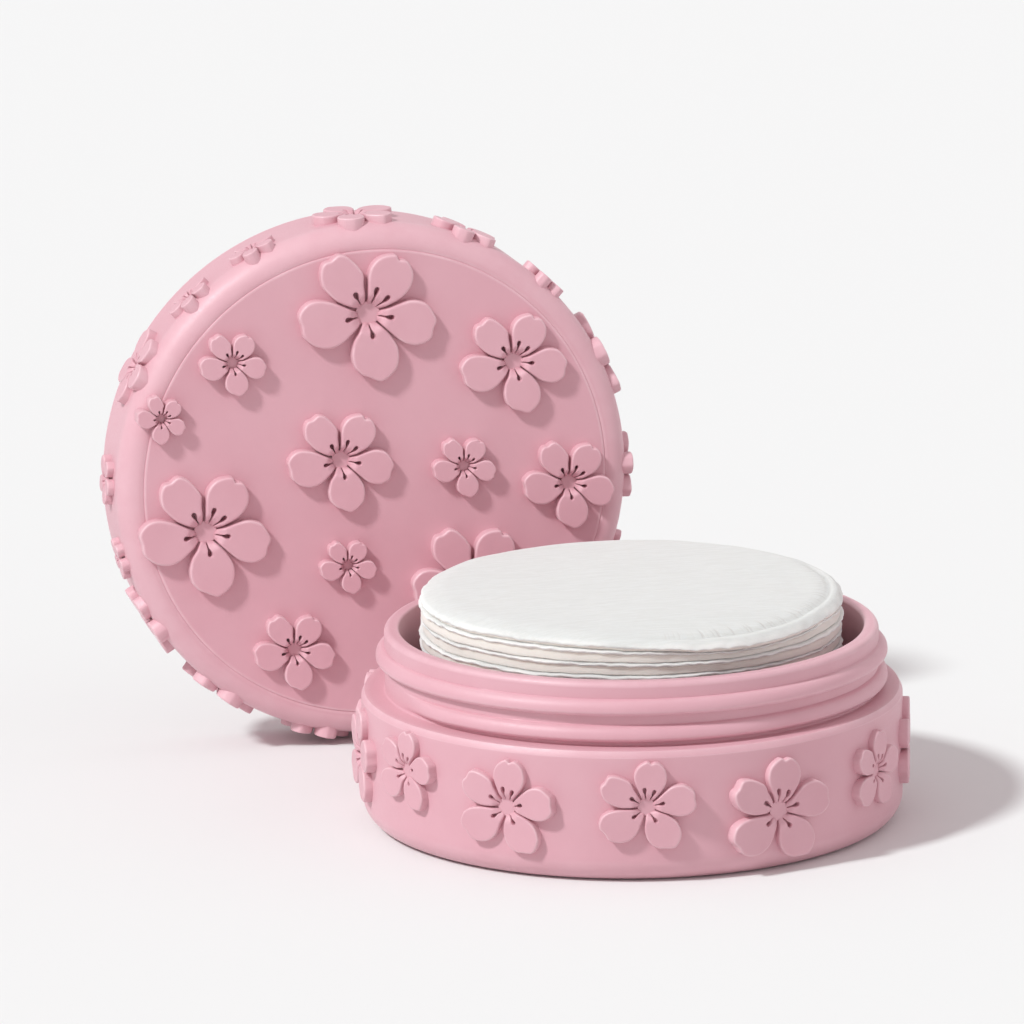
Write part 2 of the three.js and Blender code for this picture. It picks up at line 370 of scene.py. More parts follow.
# The last number sets how strongly each plastic's edges are painted pale, partly as wear and partly as
# a painted highlight; the blossoms take the most.
jar_plastic = make_pink_plastic("pink_plastic_jar", 4200.0, 70.0, 0.35)
lid_plastic = make_pink_plastic("pink_plastic_lid", 4000.0, 55.0, 0.35)
blossom_plastic = make_pink_plastic("pink_plastic_blossom", 4600.0, 90.0, 0.55)
print("plastics:", jar_plastic.name, lid_plastic.name, blossom_plastic.name)

# %% [markdown]
# ## Turning a profile
#
# The jar and the lid are round, so each is half an outline spun about its axis, as on a lathe.
# The outline runs from the middle of the underside, up the outside, over the rim and down the bore
# to the middle of the floor. A spin of a full turn with its ends merged leaves no seam, and
# welding the points on the axis closes the two poles.

# %% Helpers for turned shells
TURN_STEPS = 288
flat_row_radius = 20
wall_row = 2.5


def arc(centre_radius, centre_height, radius, start, end, steps):
    """Points on an arc of an outline, in mm, from one angle to another, in degrees."""
    angles = np.radians(np.linspace(start, end, steps + 1))
    return [(centre_radius + radius * math.cos(a), centre_height + radius * math.sin(a))
            for a in angles]


def rows(radius, start, end, spacing):
    """Evenly spaced points on a straight wall of an outline, in mm."""
    count = max(1, round(abs(end - start) / spacing))
    return [(radius, height) for height in np.linspace(start, end, count + 1)]


def turn_outline(outline, steps=TURN_STEPS):
    """A shell in metres, spun about Z from an outline of radius and height in mm."""
    shell = bmesh.new()
    points = [shell.verts.new((radius * MM, 0, height * MM)) for radius, height in outline]
    line = [shell.edges.new(pair) for pair in zip(points, points[1:])]
    bmesh.ops.spin(shell, geom=points + line, cent=(0, 0, 0), axis=(0, 0, 1), dvec=(0, 0, 0),
                   angle=2 * math.pi, steps=steps, use_merge=True, use_duplicate=False)
    bmesh.ops.remove_doubles(shell, verts=shell.verts, dist=0.0001 * MM)
    bmesh.ops.recalc_face_normals(shell, faces=shell.faces)
    return shell


def mark_edges(shape, lowest=0.04, highest=0.16):
    """Stores how sharply the mesh bends outwards at each point, from 0 to 1, as edge."""
    layer = shape.verts.layers.float.new("edge")
    shape.normal_update()
    for vert in shape.verts:
        bend = max((vert.normal.dot((vert.co - edge.other_vert(vert).co).normalized())
                    for edge in vert.link_edges), default=0.0)
        vert[layer] = min(1.0, max(0.0, (bend - lowest) / (highest - lowest)))


def finish_piece(shape, name, material, body, nodes, crease=35):
    """The bmesh as a smooth-shaded object that rides on its body and stands for its CAD nodes."""
    mesh = keep_mesh(shape, name)
    mesh.shade_smooth()
    mesh.set_sharp_from_angle(angle=math.radians(crease))
    mesh.materials.append(material)
    piece = add_object(name, mesh)
    keep_off(jar_lamp if body == "lid" else lid_lamp, [piece])
    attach(piece, body)
    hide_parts(*nodes)
    return piece


print("a full turn has", TURN_STEPS, "steps")

# %% [markdown]
# ## The thread
#
# The neck's thread is a round ridge, steeper below than above. It lies almost level across the
# front, climbs to the next lap behind, and fades into the wall at both ends, so a short turn closes
# the lid. A ridge could be a separate coil joined to the wall, but moulded plastic flows from wall
# to ridge without a seam. So the wall has fine rows, and its points are moved out where the ridge
# passes. The lid's wall has the same ridge turned inwards.

# %% The thread as a moved wall
neck_thread_height = 1.2
lid_thread_height = 1.1
thread_upper_width = 1.45
thread_lower_width = 0.75
thread_fade_turns = 0.06
THREAD_LAPS = (0.0, 0.45, 0.93, 1.10, 1.60)
THREAD_RISE = (0.0, 0.08, 3.35, 3.55, 3.75)


def ease(share):
    """A smooth step from 0 to 1."""
    share = min(1.0, max(0.0, share))
    return share * share * (3 - 2 * share)


def ridge_share(turn, height, start_turn, start_height, turns):
    """How far the ridge stands out, from 0 to 1, at a turn from -Y and a height in mm."""
    lap = ((turn - start_turn) / (2 * math.pi)) % 1
    most = 0.0
    while lap < turns:
        middle = start_height + np.interp(lap, THREAD_LAPS, THREAD_RISE)
        width = thread_upper_width if height > middle else thread_lower_width
        wave = math.sqrt(max(0.0, 1 - ((height - middle) / width) ** 2))
        fade = ease(min(lap, turns - lap) / thread_fade_turns)
        most = max(most, wave * fade)
        lap += 1
    return most


def cut_thread(shell, wall_radius, low, high, depth, start_turn, start_height, turns):
    """Moves the rows of a round wall out (or in, for a depth below 0) where the ridge passes."""
    for vert in shell.verts:
        radius = math.hypot(vert.co.x, vert.co.y) / MM
        height = vert.co.z / MM
        if abs(radius - wall_radius) > 0.01 or not low <= height <= high:
            continue
        turn = math.atan2(vert.co.x, -vert.co.y)
        share = ridge_share(turn, height, start_turn, start_height, turns)
        if share > 0:
            scale = (wall_radius + depth * share) / wall_radius
            vert.co.x *= scale
            vert.co.y *= scale


# %% [markdown]
# ## The jar
#
# The jar is a low cup with a rounded foot, a chamfered shoulder lip and a straight neck. Its neck
# wall has rows 0.11 mm apart for the thread. Its rim is flat, with a wide chamfer outside, which
# leads the lid on, and a small round inside.

# %% Make the jar
jar_radius = 37.0
bore_radius = 31.7
neck_radius = 33.75
shoulder_height = 18.0
neck_top = 26.6
floor_thickness = 2.5
floor_fillet = 2.0
foot_fillet = 3.2
lip_chamfer_height = 0.82
lip_chamfer_width = 0.42
crisp_round = 0.10
rim_chamfer = 0.68
rim_inner_round = 0.35
neck_root = 0.25
thread_row = 0.11
neck_thread_start_turn = math.radians(-82)
neck_thread_start_height = shoulder_height + 1.30
neck_thread_turns = 1.5


def make_jar():
    """The cup, its neck and its thread, in one shell."""
    outline = [(0, 0), (flat_row_radius, 0)]
    outline += arc(jar_radius - foot_fillet, foot_fillet, foot_fillet, -90, 0, 10)
    lip_start = shoulder_height - lip_chamfer_height
    outline += rows(jar_radius, foot_fillet + 0.4, lip_start - 0.5, wall_row)
    outline += [
        (jar_radius, lip_start - crisp_round),
        (jar_radius - 0.01, lip_start),
        (jar_radius - 0.05, lip_start + crisp_round),
        (jar_radius - lip_chamfer_width + 0.05, shoulder_height - crisp_round),
        (jar_radius - lip_chamfer_width - 0.02, shoulder_height - 0.02),
        (jar_radius - lip_chamfer_width - crisp_round - 0.02, shoulder_height),
        (jar_radius - 1.3, shoulder_height),
    ]
    outline += arc(neck_radius + neck_root, shoulder_height + neck_root, neck_root, 270, 180, 3)
    outline += rows(neck_radius, shoulder_height + neck_root + 0.1, neck_top - rim_chamfer - 0.1,
                    thread_row)
    rim_round = 1.1 * rim_chamfer
    outline += arc(neck_radius - rim_round, neck_top - rim_round, rim_round, 6, 84, 6)
    outline += [(neck_radius - rim_chamfer - 0.25, neck_top)]
    outline += arc(bore_radius + rim_inner_round, neck_top - rim_inner_round, rim_inner_round,
                   90, 180, 4)
    outline += rows(bore_radius, neck_top - 2, floor_thickness + floor_fillet, 4)
    outline += arc(bore_radius - floor_fillet, floor_thickness + floor_fillet, floor_fillet, 0, -90, 6)
    outline += [(flat_row_radius, floor_thickness), (0, floor_thickness)]
    shell = turn_outline(outline)
    cut_thread(shell, neck_radius, shoulder_height + 0.3, neck_top - rim_chamfer, neck_thread_height,
               neck_thread_start_turn, neck_thread_start_height, neck_thread_turns)
    # The jar's edges, rim and thread get the pale edge paint: partly rubbed wear, partly a painted
    # highlight.
    mark_edges(shell)
    return finish_piece(shell, "jar_cup", jar_plastic, "jar", ["jar_body"])


jar_cup = make_jar()
print("jar:", len(jar_cup.data.polygons), "faces")

# %% [markdown]
# ## The lid
#
# The lid is a shallow cap with a wide rounded corner, painted a little pale all round, partly as
# rubbed wear and partly as a painted highlight. A fine groove runs round its face where the mould's
# two halves met, and the disc inside it stands a hair higher. The lid is turned in its own frame,
# with its rim at height zero, and then stood on edge in place, with its face towards the front and
# its hollow side, with the thread, behind.

# %% Make the lid
lid_bore = 35.45
lid_height = 13.0
lid_top = 2.4
lid_corner = 3.0
lid_inner_fillet = 1.2
lid_rim_round = 0.4
mould_line_radius = 33.5
mould_line_half_width = 0.10
mould_line_depth = 0.04
face_disc_rise = 0.11
lid_thread_start_turn = math.radians(135)
lid_thread_start_height = 1.8
lid_thread_turns = 1.1
lid_centre = Vector((-25.2, 58.5, 38.3)) * MM
stand_lid = Matrix.Translation(lid_centre) @ Matrix.Rotation(math.radians(90), 4, "X")


def make_lid():
    """The cap with its mould line and thread, stood on edge."""
    ceiling = lid_height - lid_top
    outline = [(0, ceiling), (flat_row_radius, ceiling)]
    outline += arc(lid_bore - lid_inner_fillet, ceiling - lid_inner_fillet, lid_inner_fillet,
                   90, 0, 6)
    outline += rows(lid_bore, ceiling - lid_inner_fillet - 0.2, lid_rim_round + 0.1, thread_row)
    outline += arc(lid_bore + lid_rim_round, lid_rim_round, lid_rim_round, 180, 270, 4)
    outline += arc(jar_radius - lid_rim_round, lid_rim_round, lid_rim_round, 270, 360, 4)
    outline += rows(jar_radius, lid_rim_round + 0.4, lid_height - lid_corner - 0.4, wall_row)
    outline += arc(jar_radius - lid_corner, lid_height - lid_corner, lid_corner, 0, 90, 14)
    disc_height = lid_height + face_disc_rise
    disc_radius = mould_line_radius - mould_line_half_width
    outline += [
        (mould_line_radius + mould_line_half_width, lid_height),
        (mould_line_radius + 0.04, lid_height - mould_line_depth),
        (mould_line_radius - 0.04, lid_height - mould_line_depth),
        (disc_radius, lid_height + 0.6 * face_disc_rise),
    ]
    outline += [(disc_radius - inwards, disc_height) for inwards in (0.14, 0.35, 0.80)]
    outline += [(flat_row_radius, disc_height), (0, disc_height)]
    shell = turn_outline(outline)
    cut_thread(shell, lid_bore, lid_rim_round, ceiling - lid_inner_fillet, -lid_thread_height,
               lid_thread_start_turn, lid_thread_start_height, lid_thread_turns)
    # Gentler bends count as edges here, so the whole rounded corner is painted pale: a painted
    # highlight, and partly rubbed wear.
    mark_edges(shell, 0.01, 0.10)
    bmesh.ops.transform(shell, matrix=stand_lid, verts=shell.verts)
    return finish_piece(shell, "lid_cap", lid_plastic, "lid", ["lid_shell"])


lid_cap = make_lid()
print("lid:", len(lid_cap.data.polygons), "faces")

# %% [markdown]
# ## One blossom as a pattern
#
# Every blossom is the same cherry flower, scaled and turned: five loose petals round an open
# hub, a small step at each tip, and six stamens cut through as keyhole slots. No two petals are
# quite alike, so one petal can't be repeated five times. Each is drawn through a few points, given
# as an angle and a share of the flower's radius. A smooth line joins them, and the stamens' slots
# are drawn into the petal's end.

# %% Draw the petals
HUB_SHARE = 0.15
PETALS = [
    {"lower": [(-118.5, 0.17), (-120.3, 0.34), (-120.6, 0.47), (-117.3, 0.59), (-113.8, 0.70),
               (-106.8, 0.84), (-98.3, 0.94)],
     "tip": (-90.7, 0.98),
     "upper": [(-84.7, 1.04), (-79.9, 1.07), (-72.3, 1.03), (-64.0, 0.96), (-58.9, 0.88),
               (-54.3, 0.79), (-49.3, 0.665), (-45.7, 0.48), (-45.1, 0.32), (-48.4, 0.19)],
     "stamens": [(-87.7, -80.7, 0.354)]},
    {"lower": [(-41.2, 0.19), (-43.0, 0.37), (-43.0, 0.53), (-42.0, 0.68), (-39.5, 0.79),
               (-35.6, 0.905), (-29.9, 1.0), (-23.4, 1.06)],
     "tip": (-16.4, 1.04),
     "upper": [(-8.6, 1.07), (-2.7, 1.02), (5.9, 0.93), (11.2, 0.82), (15.4, 0.68),
               (16.4, 0.52), (15.7, 0.37), (12.5, 0.19)],
     "stamens": [(-15.4, -10.9, 0.361)]},
    {"lower": [(20.5, 0.19), (21.5, 0.335), (22.4, 0.47), (24.7, 0.60), (28.7, 0.72),
               (33.8, 0.83), (40.5, 0.925), (48.8, 0.987), (54.2, 0.996)],
     "tip": (59.2, 0.94),
     "upper": [(63.6, 0.998), (68.7, 0.97), (75.6, 0.91), (81.8, 0.83), (87.4, 0.71),
               (90.1, 0.585), (91.3, 0.43), (92.5, 0.277), (94.7, 0.162)],
     "stamens": [(38.2, 39.3, 0.383), (69.6, 71.2, 0.397)]},
    {"lower": [(105.8, 0.163), (100.0, 0.316), (98.4, 0.47), (96.7, 0.624), (101.1, 0.754),
               (105.7, 0.87), (110.5, 0.983), (116.0, 1.05)],
     "tip": (124.2, 1.03),
     "upper": [(129.3, 1.07), (134.3, 1.045), (140.5, 0.97), (147.2, 0.85), (151.7, 0.70),
               (156.0, 0.535), (157.0, 0.363), (153.0, 0.186)],
     "stamens": [(130.2, 123.2, 0.374)]},
    {"lower": [(168.0, 0.175), (162.0, 0.327), (159.4, 0.496), (159.6, 0.657), (162.0, 0.826),
               (166.7, 0.965), (173.5, 1.06), (179.6, 1.095)],
     "tip": (187.5, 1.055),
     "upper": [(195.4, 1.068), (201.4, 1.03), (208.8, 0.955), (216.0, 0.85), (222.2, 0.72),
               (226.7, 0.55), (228.5, 0.38), (233.0, 0.17)],
     "stamens": [(199.4, 192.1, 0.34)]},
]
PETAL_GAP_SHARE = 0.004
TIP_STEP_SHARE = 0.006
STAMEN_BULB = 0.037
STAMEN_SLIT = 0.0085


def polar(degrees, share):
    """A point of the flower from its direction and its share of the radius."""
    angle = math.radians(degrees)
    return np.array((share * math.cos(angle), share * math.sin(angle)))


def smooth_line(points, steps=5):
    """A smooth line through the points, with its two ends kept."""
    padded = [2 * points[0] - points[1], *points, 2 * points[-1] - points[-2]]
    line = []
    for before, start, end, after in zip(padded, padded[1:], padded[2:], padded[3:]):
        for t in np.linspace(0, 1, steps, endpoint=False):
            line.append(0.5 * (2 * start + (end - before) * t
                               + (2 * before - 5 * start + 4 * end - after) * t ** 2
                               + (3 * start - before - 3 * end + after) * t ** 3))
    line.append(points[-1])
    return line


def even_line(points, spacing):
    """The same line with its points evenly spaced, its ends kept."""
    points = np.array(points)
    lengths = np.linalg.norm(np.diff(points, axis=0), axis=1)
    along = np.concatenate(([0], np.cumsum(lengths)))
    count = max(1, round(along[-1] / spacing))
    places = np.linspace(0, along[-1], count + 1)
    return list(np.column_stack([np.interp(places, along, points[:, k]) for k in (0, 1)]))


def stamen_slot(start_degrees, bulb_degrees, bulb_share):
    """A keyhole slot from the hub out to its bulb and back."""
    start = polar(start_degrees, HUB_SHARE)
    bulb = polar(bulb_degrees, bulb_share)
    ahead = (bulb - start) / np.linalg.norm(bulb - start)
    aside = np.array((-ahead[1], ahead[0]))
    shares = (0.0, 0.3, 0.5, 0.65, 0.8, 0.92)
    widths = [STAMEN_SLIT + (STAMEN_BULB - STAMEN_SLIT) * ease((s - 0.45) / 0.5) for s in shares]
    middle = [start + (bulb - start) * s for s in shares]
    out = [m + aside * w for m, w in zip(middle, widths)]
    back = [m - aside * w for m, w in zip(middle, widths)][::-1]
    cap = [bulb + STAMEN_BULB * (aside * math.cos(a) + ahead * math.sin(a))
           for a in np.radians((15, 45, 75, 105, 135, 165))]
    return out + cap + back


def petal_outline(petal, spacing, has_step):
    """One petal's closed outline, and for each point whether it belongs to the hub or a slot."""
    sides = [petal["lower"] + petal["upper"]]
    if has_step:
        tip_turn, tip_share = petal["tip"]
        tip = [(tip_turn, tip_share + TIP_STEP_SHARE)]
        sides = [petal["lower"] + tip, tip + petal["upper"]]
    flank = []
    for side in sides:
        line = even_line(smooth_line([polar(*point) for point in side]), spacing)
        flank += line if not flank else line[1:]
    flank = np.array(flank)
    ahead = np.gradient(flank, axis=0)
    ahead /= np.linalg.norm(ahead, axis=1)[:, None]
    flank += PETAL_GAP_SHARE * np.column_stack((-ahead[:, 1], ahead[:, 0]))
    hub = []
    for start, bulb, share in sorted(petal["stamens"], reverse=True):
        hub += stamen_slot(start, bulb, share)
    return list(flank) + hub, [False] * len(flank) + [True] * len(hub)


print("petals:", len(PETALS), "stamens:", sum(len(petal["stamens"]) for petal in PETALS))

# %% [markdown]
# The petals' tops have a soft round along every edge. A bevel would need the same width all round,
# and the strips between the slots are too thin for that: a mould maker's ball cutter meets itself
# there and leaves a lower, rounder ridge. A height worked out from the distance to the nearest
# edge does the same. So each petal is filled with small even triangles, and every point keeps its
# distance from the outline. The triangles come from a Delaunay fill, because no mesh operator
# fills an outline around chosen inner points. The sides and the foot are then extruded and filled
# as usual. A shallow dish closes the hub between the petals' roots.

# %% Fill the petals and keep each point's distance from the edge
PATTERN_SPACING = 0.032
RING_SHARES = (0.010, 0.026, 0.046)
SLOT_ROUND_SHARE = 0.5
HUB_DISH_SHARE = 0.185
BLOSSOM_CREASE = 50
TOP, SIDE, FOOT, DISH = range(4)


def edge_distances(points, outline):
    """Each point's distance from each side of a closed outline."""
    along = np.roll(outline, -1, axis=0) - outline
    offset = points[:, None] - outline
    t = np.clip((offset * along).sum(axis=2) / (along ** 2).sum(axis=1), 0, 1)
    return np.linalg.norm(offset - t[..., None] * along, axis=2)


def inside(points, outline):
    """Which points lie inside a closed outline."""
    (x1, y1), (x2, y2) = outline.T, np.roll(outline, -1, axis=0).T
    x, y = points[:, 0:1], points[:, 1:2]
    crosses = (y1 > y) != (y2 > y)
    rise = np.where(y1 == y2, 1e-12, y2 - y1)
    where = x1 + (y - y1) * (x2 - x1) / rise
    return np.logical_and(crosses, x < where).sum(axis=1) % 2 == 1


def inner_points(outline):
    """Rings of points close inside the outline, then an even grid over the rest."""
    ahead = np.roll(outline, -1, axis=0) - np.roll(outline, 1, axis=0)
    ahead /= np.linalg.norm(ahead, axis=1)[:, None]
    inwards = np.column_stack((-ahead[:, 1], ahead[:, 0]))
    kept = []
    for share in RING_SHARES:
        ring = outline + inwards * share
        distance = edge_distances(ring, outline).min(axis=1)
        kept.append(ring[np.logical_and(distance > 0.93 * share, inside(ring, outline))])
    low, high = outline.min(axis=0), outline.max(axis=0)
    row_gap = PATTERN_SPACING * math.sqrt(3) / 2
    grid = []
    for row, y in enumerate(np.arange(low[1], high[1], row_gap)):
        shift = PATTERN_SPACING / 2 * (row % 2)
        grid += [(x + shift, y) for x in np.arange(low[0], high[0], PATTERN_SPACING)]
    grid = np.array(grid)
    grid = grid[inside(grid, outline)]
    distance = edge_distances(grid, outline).min(axis=1)
    kept.append(grid[distance > RING_SHARES[-1] + 0.45 * PATTERN_SPACING])
    return np.concatenate(kept)


def extrude_loop(shape, edges):
    """Extrudes a closed loop of edges, and gives the new loop's points and edges."""
    grown = bmesh.ops.extrude_edge_only(shape, edges=edges)["geom"]
    points = [part for part in grown if isinstance(part, bmesh.types.BMVert)]
    fresh = set(points)
    loop = [part for part in grown
            if isinstance(part, bmesh.types.BMEdge) and fresh.issuperset(part.verts)]
    return points, loop


def fill_petal(pattern, petal, has_step, distance_layer, level_layer):
    """Adds one petal: its top, rounded half as widely along the slots, its side and its foot."""
    outline, is_slot = petal_outline(petal, PATTERN_SPACING, has_step)
    outline = np.array(outline)
    points = np.concatenate((outline, inner_points(outline)))
    from_sides = edge_distances(points, outline)
    slot_side = np.logical_or(is_slot, np.roll(is_slot, -1))
    rounded = np.where(slot_side, from_sides / SLOT_ROUND_SHARE, from_sides).min(axis=1)
    rounded[:len(outline)] = 0
    coords, _, faces, *_ = delaunay_2d_cdt(
        [Vector(p) for p in points], [], [list(range(len(outline)))], 1, 1e-6)
    top = [pattern.verts.new((*co, 0)) for co in coords]
    for vert, distance in zip(top, rounded):
        vert[distance_layer] = distance
    filled = [pattern.faces.new([top[k] for k in face]) for face in faces]
    rim = [edge for edge in {e for face in filled for e in face.edges} if edge.is_boundary]
    for level in (SIDE, FOOT):
        lower, rim = extrude_loop(pattern, rim)
        for vert in lower:
            vert[level_layer] = level
            vert.co.z = -0.05 * level
    bmesh.ops.triangle_fill(pattern, edges=rim, use_beauty=True, use_dissolve=False)
    return len(filled)


def add_hub_dish(pattern, distance_layer, level_layer):
    """Adds the dish in the flower's middle: rings of faces on top, a side and a foot."""
    outer = bmesh.ops.create_circle(
        pattern, cap_ends=False, radius=HUB_DISH_SHARE, segments=48)["verts"]
    rim = list({edge for vert in outer for edge in vert.link_edges})
    dish, ring = list(outer), rim
    for shrink in (0.7, 0.6):
        inner, ring = extrude_loop(pattern, ring)
        bmesh.ops.scale(pattern, vec=(shrink, shrink, 1), verts=inner)
        dish += inner
    bmesh.ops.contextual_create(pattern, geom=ring)
    for vert in dish:
        vert[level_layer] = DISH
        vert[distance_layer] = vert.co.length / HUB_DISH_SHARE
    foot, ring = extrude_loop(pattern, rim)
    for vert in foot:
        vert[level_layer] = FOOT
        vert.co.z = -0.1
    bmesh.ops.contextual_create(pattern, geom=ring)


def make_blossom_pattern(name, has_step):
    """The flower at a radius of 1, flat, as a mesh that every blossom is copied from."""
    pattern = bmesh.new()
    distance_layer = pattern.verts.layers.float.new("edge_distance")
    level_layer = pattern.verts.layers.float.new("level")
    counts = [fill_petal(pattern, petal, has_step, distance_layer, level_layer) for petal in PETALS]
    add_hub_dish(pattern, distance_layer, level_layer)
    bmesh.ops.recalc_face_normals(pattern, faces=pattern.faces)
    print(name, "triangles on each top", counts, "faces in all", len(pattern.faces))
    return keep_mesh(pattern, name)


blossom_pattern = make_blossom_pattern("blossom_pattern", True)
plain_blossom_pattern = make_blossom_pattern("plain_blossom_pattern", False)

# %% [markdown]
# ## Growing a blossom on a wall
#
# A blossom is the pattern scaled, turned, and laid on its wall, with its top flat. On the lid's
# face the wall is flat too. Round the jar and the lid's side the wall curves away beneath, so the
# outer petals stand a little deeper there. The foot is sunk into the wall, so that no gap shows.
# The petals' roots slope down to the dish in the middle.

# %% Helpers that place and grow a blossom
face_relief = 1.8
side_relief = 0.95
fillet_least, fillet_most, fillet_share = 0.08, 0.32, 0.026
side_row_drop = 0.12
ROOT_SHARE = 0.42
DISH_SHARE = 0.29


def on_round_wall(turn, centre_height, frame_matrix):
    """Places a flower's points flat against a wall of the jar's radius, round the frame's Z axis."""
    outwards = Vector((math.cos(turn), math.sin(turn), 0))
    sideways = Vector((-math.sin(turn), math.cos(turn), 0))

    def place(across, up, height):
        point = outwards * (jar_radius + height) + sideways * across
        point.z = centre_height + up
        return frame_matrix @ (point * MM)
    return place


def on_lid_face(centre_across, centre_up):
    """Places a flower's points on the flat face of the lid."""
    def place(across, up, height):
        point = Vector((centre_across + across, centre_up + up, lid_height + height))
        return stand_lid @ (point * MM)
    return place


def round_height(distance, fillet):
    """How far a rounded edge has risen, in mm, at a distance inwards from the outline."""
    return math.sqrt(fillet ** 2 - max(0.0, fillet - distance) ** 2)


def grow_blossom(pattern, name, body, radius, turn, relief, sink, place):
    """One blossom: the pattern at its size, with rounded edges, laid on its wall."""
    flower = bmesh.new()
    flower.from_mesh(pattern)
    distance_layer = flower.verts.layers.float["edge_distance"]
    level_layer = flower.verts.layers.float["level"]
    edge_layer = flower.verts.layers.float.new("edge")
    fillet = min(fillet_most, fillet_least + fillet_share * radius)
    turned = Matrix.Rotation(turn, 2)
    for vert in flower.verts:
        flat = turned @ vert.co.xy * radius
        distance = vert[distance_layer] * radius
        level = round(vert[level_layer])
        share = vert.co.xy.length
        root = ROOT_SHARE + (1 - ROOT_SHARE) * ease((share - 0.13) / 0.20)
        # On the outer part of each flower the rounded rims are painted pale, and the side walls half
        # as pale: a painted highlight.
        wear_and_highlight_reach = ease((share - 0.45) / 0.2)
        if level == TOP:
            height = root * (relief - fillet + round_height(distance, fillet))
            vert[edge_layer] = wear_and_highlight_reach * max(0.0, 1 - abs(distance / fillet - 0.35) / 0.65)
        elif level == SIDE:
            height = root * (relief - fillet - side_row_drop)
            vert[edge_layer] = wear_and_highlight_reach * 0.5
        elif level == DISH:
            height = relief * (DISH_SHARE + 0.03 * vert[distance_layer] ** 2)
        else:
            height = -sink
        vert.co = place(flat.x, flat.y, height)
    return finish_piece(
        flower, name + "_petals", blossom_plastic, body, [name], BLOSSOM_CREASE)


print("relief on the face", face_relief, "mm, on the round walls", side_relief, "mm")

# %% Blossoms round the jar
jar_pattern_turn = math.radians(24.5)
jar_blossoms = [
    (-267.2, 6.1, 11.6), (-239.5, 6.5, 10.2), (-211.8, 6.1, 11.6), (-184.1, 6.5, 10.2),
    (-158.4, 5.5, 11.9), (-131.2, 6.6, 9.75), (-101.9, 6.25, 10.65), (-73.5, 7.3, 8.55),
    (-43.8, 5.5, 10.3), (-17.9, 6.3, 10.0), (9.8, 6.1, 11.6), (37.5, 6.5, 10.2), (65.2, 6.1, 11.6),
]

for k, (direction, blossom_radius, centre_height) in enumerate(jar_blossoms, 1):
    grow_blossom(blossom_pattern, f"jar_blossom_{k:02d}", "jar", blossom_radius,
                 jar_pattern_turn, side_relief, 1.0,
                 on_round_wall(math.radians(direction), centre_height, Matrix.Identity(4)))
print("blossoms round the jar:", len(jar_blossoms))

# %% Blossoms on the lid's face
face_blossoms = [
    (-0.0257, 0.6633, 0.250, 0), (0.5413, 0.4436, 0.195, 5.2), (-0.5543, 0.5031, 0.120, 0),
    (-0.8346, 0.3042, 0.090, -14.4), (-0.142, 0.1014, 0.193, 0), (0.3401, 0.0478, 0.116, -0.7),
    (0.7549, -0.0438, 0.1695, -3.9), (-0.674, -0.1476, 0.2376, -0.7),
    (-0.1228, -0.3137, 0.1036, 0), (-0.3379, -0.6319, 0.148, -1.2), (0.3713, -0.4093, 0.2247, -1.6),
]

for k, (across, up, size, extra_turn) in enumerate(face_blossoms, 1):
    grow_blossom(blossom_pattern, f"lid_face_blossom_{k:02d}", "lid", size * jar_radius,
                 math.radians(extra_turn), face_relief, 0.8,
                 on_lid_face(across * jar_radius, up * jar_radius))
print("blossoms on the lid's face:", len(face_blossoms))

# %% Blossoms round the lid's side
wide, middle, small, tiny = 5.5, 4.6, 3.3, 2.8
lid_blossom_setback = 0.8
far_setback = 2.9
lid_pattern_turn = math.radians(15)
side_blossoms = [
    (-1.5, middle, 0), (24, 6.2, 0), (46.5, small, 0), (67, middle, 0), (92, wide, 0), (116, small, 0),
    (133, small, 0), (152, 5.2, 0), (178, small, far_setback), (195, tiny, 1), (211, 5.1, 0),
    (233.5, wide, 0), (257, middle, 0), (281, small, 0), (302, wide, 0), (322, small, 0),
    (340, tiny, 0),
]

for k, (direction, blossom_radius, further_back) in enumerate(side_blossoms, 1):
    centre_height = lid_height - lid_blossom_setback - blossom_radius - further_back
    grow_blossom(plain_blossom_pattern, f"lid_side_blossom_{k:02d}", "lid", blossom_radius,
                 lid_pattern_turn, side_relief, 1.2,
                 on_round_wall(math.radians(direction), centre_height, stand_lid))
print("blossoms round the lid's side:", len(side_blossoms))

# %% [markdown]
# ## Cotton
#
# A cosmetic pad is carded cotton between two thin bonded faces. Its face shows long fine fibres
# that mostly run one way, and its cut edge is soft. Its lip is painted whiter, a painted highlight,
# and the recessed cut side below it a warmer tone, painted shade warmed by the pink plastic's
# reflected light. Two stretched noises at a small angle lie like fibres over each other and serve
# both colour and bump. Where the press has crimped the face, short creases run towards the edge;
# they are sunk in the bump and painted darker, as painted shade. Their noise changes with the
# direction from the pad's middle and not with the distance.

# %% The cotton's material
COTTON = (0.690, 0.695, 0.685, 1)
COTTON_SHADE = (0.648, 0.650, 0.635, 1)
# Painted highlight on the lip, painted shade warmed by the pink plastic's reflected light on the cut
# side, and painted shade in the creases.
COTTON_LIP_HIGHLIGHT = (0.900, 0.885, 0.865, 1)
COTTON_CUT_SIDE_SHADE = (0.860, 0.800, 0.735, 1)
COTTON_CREASE_SHADE = (0.585, 0.570, 0.555, 1)
CREASES_PER_RADIAN = 95.0
FIBRE_LAYERS = ((9, 2600.0, 0.09), (-22, 1700.0, 0.16))


def lay_fibres(tree, place):
    """The socket of a value that is high along fine fibres."""
    fibres = []
    for degrees, across_scale, along_share in FIBRE_LAYERS:
        laid = add_node(tree, "Mapping", inputs={
            "Vector": place, "Rotation": (0, 0, math.radians(degrees)),
            "Scale": (along_share, 1.0, 1.0)})
        fibres.append(add_noise(tree, laid.outputs["Vector"], across_scale, 4.0, 0.65, 0.9))
    return calculate(tree, "MAXIMUM", *fibres)


